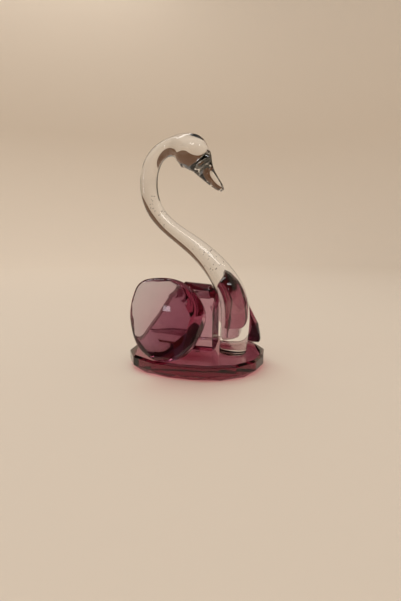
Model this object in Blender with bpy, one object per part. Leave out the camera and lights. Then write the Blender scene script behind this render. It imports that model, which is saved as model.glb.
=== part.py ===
"""Swan figurine in cut glass: a clear bent neck on a violet faceted base, body and wings.

Frame: +X is the way the swan swims, +Y its left, +Z up. The origin is the middle of the flat
face that the base plate stands on. Lengths are in metres.
"""

from math import cos, pi, radians, sin

import bmesh
import bpy
import numpy as np
from mathutils import Matrix, Vector

MM = 0.001

# Glue line between two pieces of glass
GLUE = 0.3 * MM

# The two kinds of glass
VIOLET_GLASS = (0.30, 0.08, 0.22)
CLEAR_GLASS = (0.95, 0.94, 0.96)
GLASS_ROUGHNESS = 0.02
GLASS_INDEX = 1.52

# Base plate: a sixteen-sided oval with a bevel above and below an upright belt
PLATE_LENGTH = 51.0 * MM
PLATE_WIDTH = 43.0 * MM
PLATE_SQUARENESS = 2.4
PLATE_TURN = radians(20.0)
PLATE_THICKNESS = 5.5 * MM
PLATE_SIDES = 16
PLATE_BELT_FOOT = 1.9 * MM
PLATE_BELT_TOP = 4.8 * MM
PLATE_TOP_BEVEL = 0.8 * MM
PLATE_FOOT_INSET = 1.8 * MM

# Wings: one cushion-shaped lens each, with a flat window on both faces
WING_LENGTH = 26.7 * MM
WING_HEIGHT = 29.2 * MM
WING_FRONT_THICKNESS = 1.7 * MM
WING_BACK_THICKNESS = 5.6 * MM
WING_CROWN_WIDTH = 1.1 * MM
WING_BACK_WIDTH = 6.0 * MM
WING_WINDOW_SIDES = 9
WING_GIRDLE_SIDES = 30

# A wing's back can be thicker towards its front and foot: this way round from its front tip
WING_THICK_WAY = radians(-35.0)

# The wing's outline, turning from the front tip over the top: shares of its half length and half height
WING_OUTLINE = (
    (1.00, 0.12),
    (0.78, 0.58),
    (0.42, 0.88),
    (-0.10, 1.00),
    (-0.70, 0.92),
    (-0.94, 0.56),
    (-1.00, 0.02),
    (-0.82, -0.58),
    (-0.44, -0.92),
    (0.02, -1.00),
    (0.52, -0.82),
    (0.86, -0.38),
)

# How far each wing's middle is out from the body's side and ahead of the plate's middle, how far
# its edge drops over the plate's bevel, how it is turned from facing sideways, how its top leans
# inwards, and how it is rolled about its own middle. The wedge is the share by which the depth
# of a wing's back grows over half its size.
RIGHT_WING_FROM_BODY = 14.4 * MM
RIGHT_WING_X = 0.8 * MM
RIGHT_WING_DROP = 0.4 * MM
RIGHT_WING_YAW = radians(33.0)
RIGHT_WING_LEAN = radians(12.0)
RIGHT_WING_ROLL = radians(0.0)
RIGHT_WING_WEDGE = 0.6
LEFT_WING_FROM_BODY = 10.5 * MM
LEFT_WING_X = 5.8 * MM
LEFT_WING_DROP = 0.0 * MM
LEFT_WING_YAW = radians(27.0)
LEFT_WING_LEAN = radians(27.0)
LEFT_WING_ROLL = radians(181.0)
LEFT_WING_WEDGE = 0.0

# Body: an upright slab with a flat window on both sides that slopes down to the tail behind.
# Its front end is cut flat and stands close behind the neck, and it is turned like the plate.
BODY_TO_NECK = 1.3 * MM
BODY_Y = 1.6 * MM
BODY_THICKNESS = 9.0 * MM
BODY_SHOULDER_THICKNESS = 4.6 * MM
BODY_RIDGE_THICKNESS = 1.6 * MM

# The body's three outlines in side view: distance behind its front end and height, in millimetres
BODY_RIDGE = (
    (0.6, 0.9),
    (0.0, 22.0),
    (2.5, 24.7),
    (12.3, 25.4),
    (27.0, 0.9),
)
BODY_SHOULDER = (
    (1.0, 0.0),
    (0.2, 20.5),
    (2.5, 22.6),
    (12.8, 23.0),
    (26.5, 0.0),
)
BODY_WINDOW = (
    (0.5, 3.0),
    (0.5, 17.6),
    (14.8, 18.0),
    (24.6, 3.0),
)

# Neck: its foot's distance from the plate's front end, and the way that its plane is turned from +X
NECK_INSET = 11.6 * MM
NECK_Y = 3.0 * MM
NECK_TURN = radians(12.0)
NECK_SIDES = 20
NECK_RINGS = 72

# The neck's middle line, from foot to beak: forward of the foot, height over it, thickness in side
# view, in millimetres
NECK_LINE = (
    (0.3, 0.0, 10.0),
    (0.8, 6.2, 10.3),
    (1.3, 13.2, 10.4),
    (0.5, 19.7, 10.1),
    (-2.3, 25.5, 9.7),
    (-7.0, 31.5, 8.6),
    (-13.8, 37.5, 7.3),
    (-21.5, 42.5, 6.4),
    (-28.0, 47.1, 6.0),
    (-33.1, 53.2, 6.4),
    (-35.1, 61.2, 6.8),
    (-33.4, 69.2, 6.4),
    (-28.7, 73.6, 5.8),
    (-23.2, 74.6, 7.2),
    (-17.6, 72.8, 12.2),
    (-13.6, 69.2, 10.0),
    (-11.0, 65.2, 6.2),
    (-8.3, 62.1, 4.4),
    (-5.6, 59.4, 3.0),
    (-4.3, 58.2, 1.6),
)


def remove_all_objects():
    for item in list(bpy.data.objects):
        bpy.data.objects.remove(item, do_unlink=True)


def glass_material(name, colour):
    material = bpy.data.materials.new(name)
    material.use_nodes = True
    shader = material.node_tree.nodes["Principled BSDF"]
    shader.inputs["Base Color"].default_value = (*colour, 1.0)
    shader.inputs["Roughness"].default_value = GLASS_ROUGHNESS
    shader.inputs["Metallic"].default_value = 0.0
    shader.inputs["Transmission Weight"].default_value = 1.0
    shader.inputs["IOR"].default_value = GLASS_INDEX
    return material


def add_object(name, bm, colour):
    """Makes a named object of a bmesh in glass of its own, with its normals outwards."""
    bmesh.ops.recalc_face_normals(bm, faces=bm.faces)
    mesh = bpy.data.meshes.new(name)
    bm.to_mesh(mesh)
    bm.free()
    mesh.materials.append(glass_material(name + "_glass", colour))
    item = bpy.data.objects.new(name, mesh)
    bpy.context.scene.collection.objects.link(item)
    return item


def cut_block(rings):
    """A cut stone: the flat facets of the convex hull of its corner points."""
    bm = bmesh.new()
    for ring in rings:
        for point in ring:
            bm.verts.new(point)
    hull = bmesh.ops.convex_hull(bm, input=bm.verts)
    spare = [v for v in hull["geom_interior"] if isinstance(v, bmesh.types.BMVert)]
    bmesh.ops.delete(bm, geom=spare, context="VERTS")
    bmesh.ops.dissolve_limit(bm, angle_limit=radians(0.3), verts=bm.verts, edges=bm.edges)
    return bm


def oval_ring(length, width, height, sides, half_step=False, squareness=2.0):
    """Corner points of an oval polygon at one height. A squareness over 2 fills its corners."""
    start = pi / sides if half_step else 0.0
    ring = []
    for i in range(sides):
        angle = start + 2 * pi * i / sides
        reach = (abs(cos(angle)) ** squareness + abs(sin(angle)) ** squareness) ** (-1 / squareness)
        ring.append((length / 2 * reach * cos(angle), width / 2 * reach * sin(angle), height))
    return ring


def smooth_line(points, count, closed):
    """Points spread along a Catmull-Rom curve through the given ones."""
    known = np.array(points, float)
    spans = len(known) if closed else len(known) - 1
    at = np.linspace(0, spans, count, endpoint=not closed)
    first = np.minimum(at.astype(int), spans - 1)
    share = (at - first)[:, None]
    if closed:
        a, b, c, d = (known[(first + k) % len(known)] for k in (-1, 0, 1, 2))
    else:
        before = 2 * known[0] - known[1]
        after = 2 * known[-1] - known[-2]
        padded = np.vstack([before, known, after])
        a, b, c, d = (padded[first + k] for k in range(4))
    bend = share * (c - a + share * (2 * a - 5 * b + 4 * c - d + share * (3 * (b - c) + d - a)))
    return b + bend / 2


def plate_ring(inset, height, half_step):
    return oval_ring(
        PLATE_LENGTH - 2 * inset,
        PLATE_WIDTH - 2 * inset,
        height,
        PLATE_SIDES,
        half_step,
        PLATE_SQUARENESS,
    )


def make_plate():
    """A band of upright facets between two bevels, with the foot's corners half a step round."""
    top = plate_ring(PLATE_TOP_BEVEL, PLATE_THICKNESS, False)
    belt_top = plate_ring(0.0, PLATE_BELT_TOP, False)
    belt_foot = plate_ring(0.0, PLATE_BELT_FOOT, False)
    foot = plate_ring(PLATE_FOOT_INSET, 0.0, True)
    item = add_object("base_plate", cut_block([top, belt_top, belt_foot, foot]), VIOLET_GLASS)
    item.rotation_euler = (0.0, 0.0, PLATE_TURN)
    return item


def wing_ring(inset, depth, count, wedge=0.0):
    """The wing's outline drawn in by an inset, as points at about one depth of the lens."""
    outline = smooth_line(WING_OUTLINE, count, closed=True)
    across = WING_LENGTH / 2 - inset
    up = WING_HEIGHT / 2 - inset
    thick_x = cos(WING_THICK_WAY)
    thick_y = sin(WING_THICK_WAY)
    return [
        (across * p, up * q, depth * (1 + wedge * (thick_x * p + thick_y * q)))
        for p, q in outline
    ]


def make_wing(name, side, from_body, x, drop, yaw, lean, roll, wedge):
    """A lens with X to its front tip, Y up and Z out of its show face, stood on the plate.

    The side is 1 for the swan's left and -1 for its right.
    """
    girdle = wing_ring(0.0, 0.0, WING_GIRDLE_SIDES)
    window = wing_ring(WING_CROWN_WIDTH, WING_FRONT_THICKNESS, WING_WINDOW_SIDES)
    back = wing_ring(WING_BACK_WIDTH, -WING_BACK_THICKNESS, WING_WINDOW_SIDES, wedge)
    bm = cut_block([girdle, window, back])
    out = Vector((sin(yaw) * cos(lean), side * cos(yaw) * cos(lean), sin(lean)))
    front = Vector((cos(yaw), -side * sin(yaw), 0.0))
    up = out.cross(front) if side < 0 else front.cross(out)
    up = -up if up.z < 0 else up
    facing = Matrix((front, up, out)).transposed().to_4x4()
    bmesh.ops.transform(bm, matrix=facing @ Matrix.Rotation(roll, 4, "Z"), verts=bm.verts)
    lowest = min(v.co.z for v in bm.verts)
    item = add_object(name, bm, VIOLET_GLASS)
    y = BODY_Y + side * (BODY_THICKNESS / 2 + from_body)
    item.location = (x, y, PLATE_THICKNESS + GLUE - drop - lowest)
    return item


def neck_x():
    return PLATE_LENGTH / 2 - NECK_INSET


def body_front():
    """Sets the body's turned front end close behind the part of the neck beside it."""
    body_top = max(height for back, height in BODY_RIDGE)
    neck_back = max(
        thickness / 2 - forward
        for forward, height, thickness in NECK_LINE
        if height < body_top
    )
    aside = (NECK_Y - BODY_Y) * sin(PLATE_TURN)
    return neck_x() - (neck_back * MM + BODY_TO_NECK - aside) / cos(PLATE_TURN)


def body_side(outline, thickness):
    """One outline of the body, laid on both sides of its middle plane."""
    return [
        (-back * MM, side * thickness / 2, height * MM)
        for back, height in outline
        for side in (-1, 1)
    ]


def make_body():
    sides = [
        body_side(BODY_RIDGE, BODY_RIDGE_THICKNESS),
        body_side(BODY_SHOULDER, BODY_SHOULDER_THICKNESS),
        body_side(BODY_WINDOW, BODY_THICKNESS),
    ]
    item = add_object("body", cut_block(sides), VIOLET_GLASS)
    item.location = (body_front(), BODY_Y, PLATE_THICKNESS + GLUE)
    item.rotation_euler = (0.0, 0.0, PLATE_TURN)
    return item


def make_neck():
    """Rings carried along the neck's middle line, closed by a flat foot and a round beak tip."""
    line = smooth_line(NECK_LINE, NECK_RINGS, closed=False) * MM
    along = np.gradient(line[:, :2], axis=0)
    along /= np.linalg.norm(along, axis=1)[:, None]
    along[0] = (0.0, 1.0)
    bm = bmesh.new()
    rings = []
    for (forward, height, thickness), (run, rise) in zip(line, along):
        radius = thickness / 2
        ring = []
        for i in range(NECK_SIDES):
            turn = 2 * pi * i / NECK_SIDES
            shift = radius * cos(turn)
            point = (forward + shift * rise, radius * sin(turn), height - shift * run)
            ring.append(bm.verts.new(point))
        rings.append(ring)
    for lower, upper in zip(rings, rings[1:]):
        for i in range(NECK_SIDES):
            j = (i + 1) % NECK_SIDES
            bm.faces.new((lower[i], lower[j], upper[j], upper[i]))
    bm.faces.new(rings[0])
    bm.faces.new(rings[-1])
    item = add_object("neck_and_head", bm, CLEAR_GLASS)
    item.data.shade_smooth()
    item.data.set_sharp_from_angle(angle=radians(50))
    item.location = (neck_x(), NECK_Y, PLATE_THICKNESS + GLUE)
    item.rotation_euler = (0.0, 0.0, NECK_TURN)
    return item


def build_swan():
    remove_all_objects()
    make_plate()
    make_body()
    make_wing(
        "right_wing",
        -1,
        RIGHT_WING_FROM_BODY,
        RIGHT_WING_X,
        RIGHT_WING_DROP,
        RIGHT_WING_YAW,
        RIGHT_WING_LEAN,
        RIGHT_WING_ROLL,
        RIGHT_WING_WEDGE,
    )
    make_wing(
        "left_wing",
        1,
        LEFT_WING_FROM_BODY,
        LEFT_WING_X,
        LEFT_WING_DROP,
        LEFT_WING_YAW,
        LEFT_WING_LEAN,
        LEFT_WING_ROLL,
        LEFT_WING_WEDGE,
    )
    make_neck()


build_swan()
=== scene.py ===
# %% [markdown]
# # A swan in cut and hand-bent glass
# The ornament is five pieces of solid glass glued together: an oval faceted plate, a faceted
# body, two wings cut like thick lenses, and one rod of clear glass that was drawn out in a
# flame into a neck, a head and a beak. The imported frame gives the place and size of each.
# Every piece is made again here as a finer surface in the same place, worked out with numpy.

# %% Load the frame
from math import cos, pi, radians, sin

import bmesh
import bpy
import numpy as np
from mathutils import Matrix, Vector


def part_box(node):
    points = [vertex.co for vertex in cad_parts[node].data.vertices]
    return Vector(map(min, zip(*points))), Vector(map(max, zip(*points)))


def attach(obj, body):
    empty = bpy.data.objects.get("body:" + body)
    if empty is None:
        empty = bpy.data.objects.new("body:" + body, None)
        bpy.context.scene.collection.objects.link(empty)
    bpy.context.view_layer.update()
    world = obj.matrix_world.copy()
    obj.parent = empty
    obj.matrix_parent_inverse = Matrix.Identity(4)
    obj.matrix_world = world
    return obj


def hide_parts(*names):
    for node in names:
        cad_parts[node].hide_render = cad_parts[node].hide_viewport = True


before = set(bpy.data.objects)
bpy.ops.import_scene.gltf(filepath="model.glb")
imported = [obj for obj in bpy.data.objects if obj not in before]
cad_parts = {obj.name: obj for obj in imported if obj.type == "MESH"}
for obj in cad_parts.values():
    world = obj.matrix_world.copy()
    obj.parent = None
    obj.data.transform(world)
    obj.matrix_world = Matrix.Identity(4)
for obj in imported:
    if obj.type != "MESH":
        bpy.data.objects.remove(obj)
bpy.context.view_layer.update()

MM = 0.001

# %% [markdown]
# ## The camera
# The photograph looks from ahead and to the right of the swan, from about 15 cm away, so the
# near wing looks large beside the neck. The camera's place was worked out from the plate's
# oval and the neck. Its lens is given by its reach in pixels, on a picture 601 pixels tall.

# %% Camera
PICTURE_HEIGHT = 601
CAMERA_REACH = 400.0
CAMERA_SENSOR = 36.0
CAMERA_PLACE = (92.8 * MM, -116.8 * MM, 48.5 * MM)
CAMERA_AROUND = 38.0
CAMERA_DOWN = 9.32


def make_camera():
    """Lens length = sensor length times reach in pixels, over the picture's longer side."""
    data = bpy.data.cameras.new("camera")
    data.sensor_fit = "AUTO"
    data.sensor_width = CAMERA_SENSOR
    data.lens = data.sensor_width * CAMERA_REACH / PICTURE_HEIGHT
    data.clip_start = 0.005
    data.clip_end = 10.0
    camera = bpy.data.objects.new("camera", data)
    camera.location = CAMERA_PLACE
    camera.rotation_euler = (radians(90 - CAMERA_DOWN), 0, radians(CAMERA_AROUND))
    bpy.context.scene.collection.objects.link(camera)
    bpy.context.scene.camera = camera
    return camera


camera = make_camera()
print("camera lens, mm:", round(camera.data.lens, 2))

# %% [markdown]
# ## Putting a grid of points into a mesh
# Most pieces are surfaces of two parameters: rings of points, one after another. The helper
# below joins each ring to the next with four-sided faces and closes both ends with a fan to
# a middle point, so that the glass is one closed body.

# %% Meshes from arrays
def new_object(name, points, faces, smooth):
    """A mesh object at the origin: where it stands is in its points."""
    mesh = bpy.data.meshes.new(name)
    mesh.from_pydata(points.tolist(), [], faces)
    mesh.update()
    mesh.polygons.foreach_set("use_smooth", np.full(len(mesh.polygons), smooth))
    item = bpy.data.objects.new(name, mesh)
    bpy.context.scene.collection.objects.link(item)
    return item


def ring_faces(rings, sides):
    """Four-sided faces of a tube, where point (ring, side) has the number ring times sides
    plus side."""
    ring, side = np.meshgrid(np.arange(rings - 1), np.arange(sides), indexing="ij")
    after = (side + 1) % sides
    a = ring * sides + side
    b = ring * sides + after
    return np.stack([a, b, b + sides, a + sides], -1).reshape(-1, 4)


def closed_tube(rings):
    """Points and faces of rings of shape (rings, sides, 3), closed by a fan at each end."""
    count, sides = rings.shape[:2]
    first, last = rings[0].mean(0), rings[-1].mean(0)
    points = np.vstack([rings.reshape(-1, 3), first, last])
    walls = ring_faces(count, sides).tolist()
    side = np.arange(sides)
    after = (side + 1) % sides
    start = np.stack([after, side, np.full(sides, count * sides)], -1).tolist()
    base = (count - 1) * sides
    end = np.stack([base + side, base + after, np.full(sides, count * sides + 1)], -1).tolist()
    return points, walls + start + end


# %% [markdown]
# ## The backdrop
# A round sweep of pale card: flat under the swan, then curving up all round, so that no
# horizon shows from any side. It is a profile turned about the upright axis.

# %% Sweep
SWEEP_FLAT = 0.50
SWEEP_BEND = 0.25
SWEEP_HEIGHT = 0.75
SWEEP_DROP = 0.05 * MM
SWEEP_SIDES = 96
SWEEP_STEPS = 16
SWEEP_COLOUR = (0.72, 0.63, 0.53)


def make_sweep():
    """Distance out = flat part + bend times sin(t), height = bend times (1 - cos(t))."""
    turn = np.linspace(0, 2 * pi, SWEEP_SIDES, endpoint=False)
    bend = np.linspace(0, pi / 2, SWEEP_STEPS)
    out = np.concatenate([[0.001, 0.2], SWEEP_FLAT + SWEEP_BEND * np.sin(bend)])
    up = np.concatenate([[0, 0], SWEEP_BEND * (1 - np.cos(bend))])
    out = np.append(out, SWEEP_FLAT + SWEEP_BEND)
    up = np.append(up, SWEEP_HEIGHT) - SWEEP_DROP
    points = np.stack(
        [out[:, None] * np.cos(turn), out[:, None] * np.sin(turn), up[:, None] + 0 * turn], -1
    )
    faces = ring_faces(len(out), len(turn)).tolist()
    faces.append(list(range(len(turn))))
    item = new_object("sweep", points.reshape(-1, 3), faces, True)
    material = bpy.data.materials.new("pale_card")
    material.use_nodes = True
    card = material.node_tree.nodes["Principled BSDF"]
    card.inputs["Base Color"].default_value = (*SWEEP_COLOUR, 1)
    card.inputs["Roughness"].default_value = 0.9
    card.inputs["Specular IOR Level"].default_value = 0.1
    item.data.materials.append(material)
    return item


sweep = make_sweep()
print("sweep, points:", len(sweep.data.vertices))

# %% [markdown]
# ## The light
# A large box and a panel overhead give the soft light, and three small lamps give the bright
# marks on the curved glass. Rays that have passed through glass see only two of the lamps, and
# a dimmer sky, because inner reflections of the rest would stripe the wings. Clear glass shows
# its edges by what it bends towards the eye, so two screens that only glass sees stand round
# the swan: a dark one on the camera's side and both flanks, and a brown one behind.

# %% Lamps
LAMP_TARGET = (0, 0, 0.03)


def aim(item, place, target):
    """Turned about the upright by atan2(-x, y) of the way to the target, and tipped by the arcsine
    of its rise over its length."""
    direction = np.array(target) - np.array(place)
    length = np.linalg.norm(direction)
    around = np.arctan2(-direction[0], direction[1])
    rise = np.arcsin(direction[2] / length)
    item.location = place
    item.rotation_euler = (pi / 2 + rise, 0, around)


def make_lamp(name, place, size, power, colour, seen_through=False):
    """A rectangle that shines towards the swan. Seen through: whether glass shows it."""
    data = bpy.data.lights.new(name, "AREA")
    data.shape = "RECTANGLE"
    data.size, data.size_y = size
    data.energy = power
    data.color = colour
    item = bpy.data.objects.new(name, data)
    bpy.context.scene.collection.objects.link(item)
    aim(item, place, LAMP_TARGET)
    item.visible_transmission = seen_through
    return item


def seen_from_camera(around, distance, height):
    """A place around the swan: 0 is at the camera's side, 90 to its right, 180 behind."""
    turn = radians(CAMERA_AROUND + around)
    return (distance * sin(turn), -distance * cos(turn), height)


make_lamp("top_box", seen_from_camera(-150, 0.55, 0.70), (0.60, 0.60), 3.3, (1, 0.98, 0.95))
make_lamp("ceiling_panel", seen_from_camera(5, 0.30, 0.68), (0.26, 0.26), 1.2, (1, 0.97, 0.93))
make_lamp("right_spot", seen_from_camera(78, 0.29, 0.47), (0.03, 0.03), 0.04, (1, 1, 1), True)
make_lamp(
    "left_strip", seen_from_camera(-75, 0.36, 0.12), (0.02, 0.09), 0.05, (0.85, 0.9, 1), True
)
make_lamp("front_spot", seen_from_camera(-16, 0.36, 0.104), (0.009, 0.006), 0.0009, (1, 0.94, 1))
print("lamps:", sorted(lamp.name for lamp in bpy.data.lights))

# %% Sky
SKY_COLOUR = (1, 0.98, 0.95)
SKY_LEVEL = 0.42
SKY_LEVEL_THROUGH_GLASS = 0.10
world = bpy.data.worlds.new("studio")
bpy.context.scene.world = world
world.use_nodes = True
world_nodes, world_links = world.node_tree.nodes, world.node_tree.links
sky = world_nodes["Background"]
sky.inputs["Color"].default_value = (*SKY_COLOUR, 1)
ray = world_nodes.new("ShaderNodeLightPath")
level = world_nodes.new("ShaderNodeMapRange")
level.inputs["To Min"].default_value = SKY_LEVEL
level.inputs["To Max"].default_value = SKY_LEVEL_THROUGH_GLASS
world_links.new(ray.outputs["Is Transmission Ray"], level.inputs["Value"])
world_links.new(level.outputs["Result"], sky.inputs["Strength"])
print("sky:", SKY_LEVEL, "through glass:", SKY_LEVEL_THROUGH_GLASS)

# %% Screens
SCREEN_COLUMNS = 25


def make_screen(name, around, distance, heights, colour):
    """An upright screen bent round the swan, from one angle to another, which only glass sees.
    The last of the faces, which would close it to a tube, is left out."""
    turn = np.radians(CAMERA_AROUND + np.linspace(*around, SCREEN_COLUMNS))
    edge = np.stack([distance * np.sin(turn), -distance * np.cos(turn)], -1)
    rows = [np.column_stack([edge, np.full(SCREEN_COLUMNS, height)]) for height in heights]
    faces = ring_faces(2, SCREEN_COLUMNS)[:-1].tolist()
    item = new_object(name, np.vstack(rows), faces, True)
    material = bpy.data.materials.new(name)
    material.use_nodes = True
    card = material.node_tree.nodes["Principled BSDF"]
    card.inputs["Base Color"].default_value = (*colour, 1)
    card.inputs["Roughness"].default_value = 0.9
    item.data.materials.append(material)
    item.visible_camera = False
    item.visible_diffuse = False
    item.visible_shadow = False
    return item


make_screen("dark_room", (-125, 125), 0.40, (0.03, 0.55), (0.035, 0.032, 0.022))
make_screen("brown_board", (130, 230), 0.42, (0.19, 0.60), (0.16, 0.075, 0.035))
bpy.context.scene.view_settings.view_transform = "Standard"

# %% [markdown]
# ## The glass
# Solid glass takes its colour from its depth: light that goes further through it comes out
# darker. So the violet is a Volume Absorption shader, which takes away most of the green,
# while the surface stays nearly clear. Its shadow is coloured too. No polished surface is
# perfect: one node group gives both kinds of glass a faint cloud of colour, wiped marks in
# the polish and slow waves.

# %% Surface group
def make_polish_group():
    """Outputs: a cloud from 0 to 1, a smear from 0 to 1 and the height of slow waves."""
    group = bpy.data.node_groups.new("polished_glass", "ShaderNodeTree")
    socket = group.interface.new_socket
    socket("Vector", in_out="INPUT", socket_type="NodeSocketVector")
    for name, value in (("Cloud Scale", 60.0), ("Smear Scale", 300.0), ("Wave Scale", 90.0)):
        socket(name, in_out="INPUT", socket_type="NodeSocketFloat").default_value = value
    for name in ("Cloud", "Smear", "Wave"):
        socket(name, in_out="OUTPUT", socket_type="NodeSocketFloat")
    nodes, links = group.nodes, group.links
    given = nodes.new("NodeGroupInput")
    made = nodes.new("NodeGroupOutput")
    for name, detail, stretch in (("Cloud", 2.0, 1.0), ("Smear", 6.0, 0.25), ("Wave", 1.0, 1.0)):
        mapping = nodes.new("ShaderNodeMapping")
        mapping.inputs["Scale"].default_value = (1.0, 1.0, stretch)
        noise = nodes.new("ShaderNodeTexNoise")
        noise.inputs["Detail"].default_value = detail
        links.new(given.outputs["Vector"], mapping.inputs["Vector"])
        links.new(mapping.outputs["Vector"], noise.inputs["Vector"])
        links.new(given.outputs[name + " Scale"], noise.inputs["Scale"])
        links.new(noise.outputs["Fac"], made.inputs[name])
    return group


POLISH = make_polish_group()
print("polish group outputs:", [item.name for item in POLISH.interface.items_tree])


# %% Glass material
GLASS_INDEX = 1.52
SMEAR_FROM = 0.45
SMEAR_TO = 0.75
MIX_SHARE, MIX_COLOUR_A, MIX_COLOUR_B, MIX_RESULT = 0, 6, 7, 2


def make_glass(
    name, tint_a, tint_b, roughness, wave_height, depth_colour, depth_density, shadow_colour
):
    """Depth colour and density are the volume's. Roughness = its most times the share of the way
    that the smear has gone between its two limits. A ray on its way to a lamp meets the shadow
    colour at each face, so the glass throws a coloured shadow."""
    material = bpy.data.materials.new(name)
    material.use_nodes = True
    nodes, links = material.node_tree.nodes, material.node_tree.links
    shader = nodes["Principled BSDF"]
    shader.inputs["Metallic"].default_value = 0.0
    shader.inputs["Transmission Weight"].default_value = 1.0
    shader.inputs["IOR"].default_value = GLASS_INDEX
    place = nodes.new("ShaderNodeTexCoord")
    polish = nodes.new("ShaderNodeGroup")
    polish.node_tree = POLISH
    links.new(place.outputs["Object"], polish.inputs["Vector"])
    tint = nodes.new("ShaderNodeMix")
    tint.data_type = "RGBA"
    tint.inputs[MIX_COLOUR_A].default_value = (*tint_a, 1)
    tint.inputs[MIX_COLOUR_B].default_value = (*tint_b, 1)
    links.new(polish.outputs["Cloud"], tint.inputs[MIX_SHARE])
    links.new(tint.outputs[MIX_RESULT], shader.inputs["Base Color"])
    rough = nodes.new("ShaderNodeMapRange")
    rough.inputs["From Min"].default_value = SMEAR_FROM
    rough.inputs["From Max"].default_value = SMEAR_TO
    rough.inputs["To Min"].default_value = 0.0
    rough.inputs["To Max"].default_value = roughness
    links.new(polish.outputs["Smear"], rough.inputs["Value"])
    links.new(rough.outputs["Result"], shader.inputs["Roughness"])
    bump = nodes.new("ShaderNodeBump")
    bump.inputs["Strength"].default_value = 1.0
    bump.inputs["Distance"].default_value = wave_height
    links.new(polish.outputs["Wave"], bump.inputs["Height"])
    links.new(bump.outputs["Normal"], shader.inputs["Normal"])
    lit = nodes.new("ShaderNodeBsdfTransparent")
    lit.inputs["Color"].default_value = (*shadow_colour, 1)
    ray = nodes.new("ShaderNodeLightPath")
    either = nodes.new("ShaderNodeMixShader")
    links.new(ray.outputs["Is Shadow Ray"], either.inputs[0])
    links.new(shader.outputs["BSDF"], either.inputs[1])
    links.new(lit.outputs["BSDF"], either.inputs[2])
    links.new(either.outputs["Shader"], nodes["Material Output"].inputs["Surface"])
    depth = nodes.new("ShaderNodeVolumeAbsorption")
    depth.inputs["Color"].default_value = (*depth_colour, 1)
    depth.inputs["Density"].default_value = depth_density
    links.new(depth.outputs["Volume"], nodes["Material Output"].inputs["Volume"])
    return material


# %% The two kinds of glass
VIOLET_TINT = ((0.80, 0.85, 0.86), (0.74, 0.80, 0.83))
VIOLET_ROUGHNESS = 0.03
VIOLET_WAVES = 0.02 * MM
VIOLET_DEPTH = (0.68, 0.09, 0.31)
VIOLET_DENSITY = 110.0
VIOLET_SHADOW = (0.88, 0.68, 0.72)
CLEAR_TINT = ((0.99, 0.99, 0.98), (0.97, 0.97, 0.98))
CLEAR_ROUGHNESS = 0.02
CLEAR_WAVES = 0.25 * MM
CLEAR_DEPTH = (0.85, 0.80, 0.70)
CLEAR_DENSITY = 4.0
CLEAR_SHADOW = (0.85, 0.85, 0.83)
violet = make_glass(
    "violet_cut_glass", *VIOLET_TINT, VIOLET_ROUGHNESS, VIOLET_WAVES,
    VIOLET_DEPTH, VIOLET_DENSITY, VIOLET_SHADOW,
)
clear = make_glass(
    "clear_drawn_glass", *CLEAR_TINT, CLEAR_ROUGHNESS, CLEAR_WAVES,
    CLEAR_DEPTH, CLEAR_DENSITY, CLEAR_SHADOW,
)
print("materials:", violet.name, clear.name)


# %% Finishing a piece
def finish_piece(item, node, material):
    """Gives a piece its glass, hangs it under the root and hides the node of the frame that it
    stands for.
    """
    item.data.materials.append(material)
    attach(item, "root")
    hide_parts(node)
    low = np.array([v.co for v in item.data.vertices]).min(0)
    print(item.name, "faces:", len(item.data.polygons), "lowest, mm:", round(1000 * low[2], 2))


# %% [markdown]
# ## Flat facets between rings of corners
# A cut stone is a stack of rings of corners. Where each ring is half a step round from the
# one below, the faces between them are triangles, and each is a facet that a flat wheel
# could grind. A narrow bevel on the edges catches the light as a real ground edge does.

# %% Stones
GROUND_EDGE = 0.10 * MM
GROUND_EDGE_ANGLE = radians(8)


def oval_ring(length, width, height, sides, half_step=False, squareness=2.0):
    """Corner at angle a: reach times (length/2 cos a, width/2 sin a), where the reach is
    (|cos a|^q + |sin a|^q)^(-1/q) and q is the squareness."""
    angle = (np.arange(sides) + 0.5 * half_step) * 2 * pi / sides
    x, y = np.cos(angle), np.sin(angle)
    reach = (np.abs(x) ** squareness + np.abs(y) ** squareness) ** (-1 / squareness)
    return np.stack([length / 2 * reach * x, width / 2 * reach * y, np.full(sides, height)], -1)


def step_faces(first, second, sides, ahead):
    """Triangles between two rings that start at those numbers. Ahead is 1 if the second ring is
    half a step ahead of the first, and 0 if it is half a step behind."""
    i = np.arange(sides)
    j = (i + 1) % sides
    if ahead:
        up = np.stack([first + i, first + j, second + i], -1)
        down = np.stack([first + j, second + j, second + i], -1)
    else:
        up = np.stack([first + i, first + j, second + j], -1)
        down = np.stack([first + i, second + j, second + i], -1)
    return up.tolist() + down.tolist()


def ground_edges(item):
    """A narrow rounded bevel on every edge that turns by more than the angle."""
    bevel = item.modifiers.new("ground_edge", "BEVEL")
    bevel.width = GROUND_EDGE
    bevel.segments = 2
    bevel.limit_method = "ANGLE"
    bevel.angle_limit = GROUND_EDGE_ANGLE


def placed(points, turn, place):
    """Points turned about the upright axis and moved to their place."""
    c, s = cos(turn), sin(turn)
    return points @ np.array([[c, s, 0], [-s, c, 0], [0, 0, 1]]) + np.array(place)


# %% [markdown]
# ## The base plate
# An oval slab with sixteen sides: a flat top with a narrow bevel, an upright belt, and below
# the belt a row of triangles that draws in to the foot, whose corners lie half a step round.

# %% Base plate
PLATE_LENGTH = 51.0 * MM
PLATE_WIDTH = 43.0 * MM
PLATE_TURN = radians(20)
PLATE_FOOT_INSET = 1.8 * MM
PLATE_BELT_FOOT = 1.9 * MM
PLATE_BELT_TOP = 4.8 * MM
PLATE_TOP = 5.5 * MM
PLATE_TOP_INSET = 0.8 * MM
PLATE_SIDES = 16
PLATE_SQUARENESS = 2.4


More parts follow.
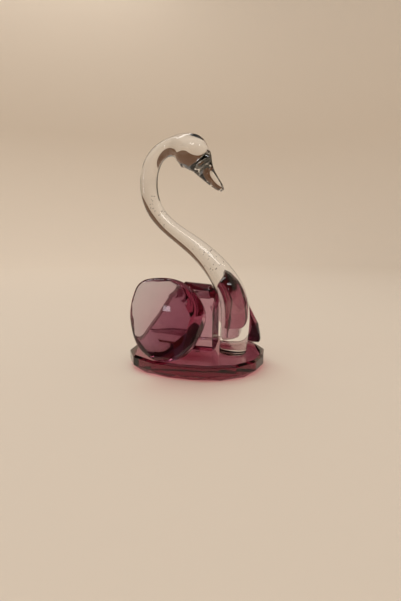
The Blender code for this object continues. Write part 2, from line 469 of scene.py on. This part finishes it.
def make_plate():
    """Four rings of corners. Each is the plate's oval, drawn in by its inset."""
    def ring(inset, height, half_step):
        size = PLATE_LENGTH - 2 * inset, PLATE_WIDTH - 2 * inset
        return oval_ring(*size, height, PLATE_SIDES, half_step, PLATE_SQUARENESS)

    n = PLATE_SIDES
    foot = ring(PLATE_FOOT_INSET, 0, True)
    belt = [ring(0, PLATE_BELT_FOOT, False), ring(0, PLATE_BELT_TOP, False)]
    top = ring(PLATE_TOP_INSET, PLATE_TOP, False)
    points = placed(np.vstack([foot, *belt, top]), PLATE_TURN, (0, 0, 0))
    faces = step_faces(0, n, n, 0) + (n + ring_faces(3, n)).tolist()
    faces += [list(range(n))[::-1], list(range(3 * n, 4 * n))]
    return new_object("base_plate_stone", points, faces, False)


plate = make_plate()
ground_edges(plate)
finish_piece(plate, "base_plate", violet)

# %% [markdown]
# ## The body
# An upright slab with a flat window on both sides, cut down to a narrow ridge and a sloping
# tail. It is the skin stretched tightly round three side-view outlines, each for one
# thickness in millimetres: the ridge and foot, the shoulder, and the window.

# %% Body
BODY_PLACE = (8.02 * MM, 1.6 * MM, 5.8 * MM)
BODY_TURN = radians(20)
BODY_FLATNESS = radians(0.3)
BODY_OUTLINES = {
    1.6: ((0.6, 0.9), (0, 22), (2.5, 24.7), (12.3, 25.4), (27, 0.9)),
    4.6: ((1, 0), (0.2, 20.5), (2.5, 22.6), (12.8, 23), (26.5, 0)),
    9.0: ((0.5, 3), (0.5, 17.6), (14.8, 18), (24.6, 3)),
}


def make_body():
    """Each outline gives how far behind the front end and how high, for one thickness."""
    corners = [
        (-back, side * thickness / 2, height)
        for thickness, outline in BODY_OUTLINES.items()
        for back, height in outline
        for side in (-1, 1)
    ]
    skin = bmesh.new()
    for corner in placed(np.array(corners) * MM, BODY_TURN, BODY_PLACE):
        skin.verts.new(corner)
    hull = bmesh.ops.convex_hull(skin, input=skin.verts)
    inner = [part for part in hull["geom_interior"] if isinstance(part, bmesh.types.BMVert)]
    bmesh.ops.delete(skin, geom=inner, context="VERTS")
    bmesh.ops.dissolve_limit(
        skin, angle_limit=BODY_FLATNESS, verts=skin.verts, edges=skin.edges
    )
    mesh = bpy.data.meshes.new("body_stone")
    skin.to_mesh(mesh)
    skin.free()
    item = bpy.data.objects.new("body_stone", mesh)
    bpy.context.scene.collection.objects.link(item)
    return item


body = make_body()
ground_edges(body)
finish_piece(body, "body", violet)

# %% [markdown]
# ## The wings
# Each wing is a thick cushion of glass with a smooth rim. It has a flat window outside and
# inside, and a polished slope from each window down to the rim. Nine straight window edges
# against a round rim give the slope soft facets. The near wing's inner side is a wedge,
# thicker towards its front and foot, where the slope turns steep and dark. The far wing has
# the same outline and windows, but no wedge.

# %% Wing outline
WING_LENGTH = 26.7 * MM
WING_HEIGHT = 29.2 * MM
WING_SIDES = 9
WING_POINTS = 90
WING_OUTLINE = np.array([
    (1.00, 0.12), (0.78, 0.58), (0.42, 0.88), (-0.10, 1.00), (-0.70, 0.92), (-0.94, 0.56),
    (-1.00, 0.02), (-0.82, -0.58), (-0.44, -0.92), (0.02, -1.00), (0.52, -0.82), (0.86, -0.38),
])
THICK_ANGLE = radians(-35)
THICK_WAY = (cos(THICK_ANGLE), sin(THICK_ANGLE))


def closed_curve(corners, count):
    """A smooth closed line through the corners. Between two of them each coordinate is a cubic
    whose slope at a corner is half the step from the corner before to the one after."""
    n = len(corners)
    at = np.linspace(0, n, count, endpoint=False)
    first = at.astype(int)
    t = (at - first)[:, None]
    a, b, c, d = (corners[(first + k) % n] for k in (-1, 0, 1, 2))
    return b + t / 2 * (c - a + t * (2 * a - 5 * b + 4 * c - d + t * (3 * (b - c) + d - a)))


def straight_sides(outline, sides):
    """The same number of points, on straight lines between every n-th point of the outline."""
    step = len(outline) // sides
    share = (np.arange(step) / step)[:, None]
    corners = outline[::step]
    after = np.roll(corners, -1, 0)
    return (corners[:, None] * (1 - share) + after[:, None] * share).reshape(-1, 2)


# %% Wing rings
OUTER_WINDOW = {"inset": 1.1 * MM, "depth": 1.7 * MM, "swell": 0.15 * MM}
INNER_WINDOW = {"inset": 6.0 * MM, "depth": -5.6 * MM, "swell": 0.35 * MM}
RIM_INSET = 0.15 * MM
RIM_HALF_THICKNESS = 0.15 * MM
EDGE_SHARE = 0.03
EDGE_SWELL = 0.08
SLOPE_SHARES = (0.2, 0.4, 0.6, 0.8)


def wing_ring(inset, depth, wedge, straight):
    """x = (length/2 - inset) p, y = (height/2 - inset) q, z = depth (1 + wedge times how far
    (p, q) lies the thick way), where (p, q) is the outline in shares."""
    outline = closed_curve(WING_OUTLINE, WING_POINTS)
    if straight:
        outline = straight_sides(outline, WING_SIDES)
    size = np.array([WING_LENGTH / 2 - inset, WING_HEIGHT / 2 - inset])
    return np.column_stack([outline * size, depth * (1 + wedge * outline @ THICK_WAY)])


def window_to_rim(inset, depth, swell, wedge):
    """At share t of the way from a window to the rim, a ring lies 4 t (1 - t) times the swell
    outside the straight slope, like a polished cushion. One more ring close to the window, with
    a small share of the swell, keeps the window's edge crisp."""
    side = np.sign(depth)
    window = wing_ring(inset, depth, wedge, True)
    rim = wing_ring(RIM_INSET, 0, 0, False)
    rim[:, 2] += side * RIM_HALF_THICKNESS
    slope = rim - window
    outward = rim / np.linalg.norm(rim[:, :2], axis=1)[:, None] * [1, 1, 0] + [0, 0, 1]
    bulge = swell * np.array([1, 1, side]) * outward
    edge = window + EDGE_SHARE * slope + EDGE_SWELL * bulge
    between = [window + t * slope + 4 * t * (1 - t) * bulge for t in SLOPE_SHARES]
    return [window, edge, *between, rim]


def wing_rings(wedge):
    """From the outer window over the rim to the inner window, whose side alone is a wedge."""
    outer = window_to_rim(**OUTER_WINDOW, wedge=0.0)
    inner = window_to_rim(**INNER_WINDOW, wedge=wedge)
    return np.array(outer + inner[::-1])


# %% Wing stone
WING_SHARP_ANGLE = radians(9)


def make_wing(name, node, side, yaw, lean, roll, wedge, middle):
    """The wing's three own ways: out = (sin yaw cos lean, side cos yaw cos lean, sin lean),
    front = (cos yaw, -side sin yaw, 0), and up, which is square to both. Roll turns its outline
    about out. Its lowest point lies as high as in the frame."""
    rings = wing_rings(wedge)
    count, sides = rings.shape[:2]
    out = np.array([sin(yaw) * cos(lean), side * cos(yaw) * cos(lean), sin(lean)])
    front = np.array([cos(yaw), -side * sin(yaw), 0.0])
    up = np.cross(out, front)
    up = up if up[2] > 0 else -up
    roll_turn = np.array([[cos(roll), sin(roll), 0], [-sin(roll), cos(roll), 0], [0, 0, 1]])
    points = rings.reshape(-1, 3) @ roll_turn @ np.stack([front, up, out])
    points += [*middle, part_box(node)[0].z - points[:, 2].min()]
    faces = ring_faces(count, sides).tolist()
    faces += [list(range(sides))[::-1], list(range((count - 1) * sides, count * sides))]
    if np.dot(np.cross(front, up), out) > 0:
        faces = [face[::-1] for face in faces]
    item = new_object(name, points, faces, True)
    item.data.polygons[-1].use_smooth = False
    item.data.polygons[-2].use_smooth = False
    item.data.set_sharp_from_angle(angle=WING_SHARP_ANGLE)
    return item


# %% Both wings
right_wing = make_wing(
    "right_wing_stone", "right_wing", side=-1, yaw=radians(33), lean=radians(12), roll=0.0,
    wedge=0.6, middle=(0.8 * MM, -17.3 * MM),
)
left_wing = make_wing(
    "left_wing_stone", "left_wing", side=1, yaw=radians(27), lean=radians(27), roll=radians(181),
    wedge=0.0, middle=(5.8 * MM, 16.6 * MM),
)
for item, node in ((right_wing, "right_wing"), (left_wing, "left_wing")):
    finish_piece(item, node, violet)

# %% [markdown]
# ## The neck, the head and the beak
# One rod, thick at the foot and drawn thinner towards the bend, gathered again for the head
# and pulled to a point for the beak. It is a ring carried along a smooth line. Each row of
# NECK_LINE gives a point of the line in the neck's own upright plane, forward and up, and the
# rod's thickness there, in millimetres.

# %% Neck's line
NECK_PLACE = (13.9 * MM, 3.0 * MM, PLATE_TOP + 0.3 * MM)
NECK_TURN = radians(12)
NECK_SIDES = 72
NECK_RINGS = 260
NECK_EVENING = 5
NECK_LINE = np.array([
    (0.3, 0.0, 10.0), (0.8, 6.2, 10.3), (1.3, 13.2, 10.4), (0.5, 19.7, 10.1), (-2.3, 25.5, 9.7),
    (-7.0, 31.5, 8.6), (-13.8, 37.5, 7.3), (-21.5, 42.5, 6.4), (-28.0, 47.1, 6.0),
    (-33.1, 53.2, 6.4), (-35.1, 61.2, 6.8), (-33.4, 69.2, 6.4), (-28.7, 73.6, 5.8),
    (-23.2, 74.6, 7.2), (-17.6, 72.8, 12.2), (-13.6, 69.2, 10.0), (-11.0, 65.2, 6.2),
    (-8.3, 62.1, 4.4), (-5.6, 59.4, 3.0), (-4.3, 58.2, 1.6),
])


def open_curve(corners, count):
    """The same cubic as for a closed line, with one more corner laid on at each end."""
    known = np.vstack([2 * corners[0] - corners[1], corners, 2 * corners[-1] - corners[-2]])
    at = np.linspace(0, len(corners) - 1, count)
    first = np.minimum(at.astype(int), len(corners) - 2)
    t = (at - first)[:, None]
    a, b, c, d = (known[first + k] for k in range(4))
    return b + t / 2 * (c - a + t * (2 * a - 5 * b + 4 * c - d + t * (3 * (b - c) + d - a)))


def softened(line, width):
    """Each row is the mean of its neighbours under a bell curve, which evens out the bends."""
    reach = np.arange(-3 * width, 3 * width + 1)
    bell = np.exp(-0.5 * (reach / width) ** 2)
    bell /= bell.sum()
    before = 2 * line[0] - line[3 * width:0:-1]
    after = 2 * line[-1] - line[-2:-3 * width - 2:-1]
    long = np.vstack([before, line, after])
    return np.stack([np.convolve(long[:, k], bell, "valid") for k in range(line.shape[1])], -1)


# %% [markdown]
# Drawn glass keeps marks of its making. Small bubbles of air sit inside the rod in two swarms,
# and round the head the tool that shaped the soft glass left slow swells and dips.

# %% Bubbles
BUBBLES = 44
BUBBLE_SEED = 5
BUBBLE_SWARMS = ((66, 84), (106, 130))
BUBBLE_REACH = 0.7
BUBBLE_SIZE = (0.10 * MM, 0.24 * MM)
BALL_RINGS = 6
BALL_SIDES = 8
BALL_END = 1.5


def make_bubbles(line, normal, radius):
    """Balls of air: centre + size times (cos v cos u, cos v sin u, sin v), with v from one end to
    the other. Each swarm lies between two rings of the rod, within a share of its radius. The
    balls' faces look inwards, towards the air."""
    dice = np.random.default_rng(BUBBLE_SEED)
    ring = np.concatenate([dice.integers(*swarm, BUBBLES // 2) for swarm in BUBBLE_SWARMS])
    way = dice.uniform(0, 2 * pi, BUBBLES)
    out = radius[ring] * dice.uniform(0, BUBBLE_REACH, BUBBLES)
    flat = line[ring, :2] + (out * np.cos(way))[:, None] * normal[ring]
    centre = np.column_stack([flat[:, 0], out * np.sin(way), flat[:, 1]])
    size = dice.uniform(*BUBBLE_SIZE, BUBBLES)[:, None, None, None]
    rise = np.linspace(-BALL_END, BALL_END, BALL_RINGS)
    turn = np.arange(BALL_SIDES) * 2 * pi / BALL_SIDES
    v, u = np.meshgrid(rise, turn, indexing="ij")
    ball = np.stack([np.cos(v) * np.cos(u), np.cos(v) * np.sin(u), np.sin(v)], -1)
    points = (centre[:, None, None] + size * ball).reshape(-1, 3)
    corners = BALL_RINGS * BALL_SIDES
    first = corners * np.arange(BUBBLES)[:, None, None]
    walls = (first + ring_faces(BALL_RINGS, BALL_SIDES)[:, ::-1]).reshape(-1, 4).tolist()
    side = np.arange(BALL_SIDES)
    caps = (first + np.stack([side, corners - 1 - side])).reshape(-1, BALL_SIDES).tolist()
    return points, walls + caps


# %% Neck
HEAD_RING = 196
HEAD_REACH = 10
HEAD_SWELL = 0.03
TOOL_MARK = 0.05
MARKS_ROUND = 4
MARK_TWIST = 0.35
MARK_FADE = 0.21


def head_marks(ring, turn):
    """1 + bell times (swell + mark times sin(marks round times turn + twist times ring) times
    cos(fade times ring)), where the bell is 1 at the head's ring and falls off on both sides."""
    bell = np.exp(-0.5 * ((ring - HEAD_RING) / HEAD_REACH) ** 2)
    waves = np.sin(MARKS_ROUND * turn + MARK_TWIST * ring) * np.cos(MARK_FADE * ring)
    return 1 + bell * (HEAD_SWELL + TOOL_MARK * waves)


def make_neck():
    """Point = line + radius times (cos a times the normal in the plane + sin a across it)."""
    line = softened(open_curve(NECK_LINE, NECK_RINGS), NECK_EVENING) * MM
    run = np.gradient(line[:, :2], axis=0)
    run /= np.linalg.norm(run, axis=1)[:, None]
    run[0] = (0, 1)
    turn = np.arange(NECK_SIDES) * 2 * pi / NECK_SIDES
    radius = line[:, 2] / 2
    normal = np.stack([run[:, 1], -run[:, 0]], -1)
    reach = radius[:, None] * head_marks(np.arange(NECK_RINGS)[:, None], turn)
    shift = reach * np.cos(turn)
    forward = line[:, :1] + shift * normal[:, :1]
    height = line[:, 1:2] + shift * normal[:, 1:]
    across = reach * np.sin(turn)
    rings = np.stack([forward, across, height], -1)
    points, faces = closed_tube(rings)
    bubbles, bubble_faces = make_bubbles(line, normal, radius)
    faces += [[corner + len(points) for corner in face] for face in bubble_faces]
    points = placed(np.vstack([points, bubbles]), NECK_TURN, NECK_PLACE)
    return new_object("drawn_neck", points, faces, True)


neck = make_neck()
finish_piece(neck, "neck_and_head", clear)
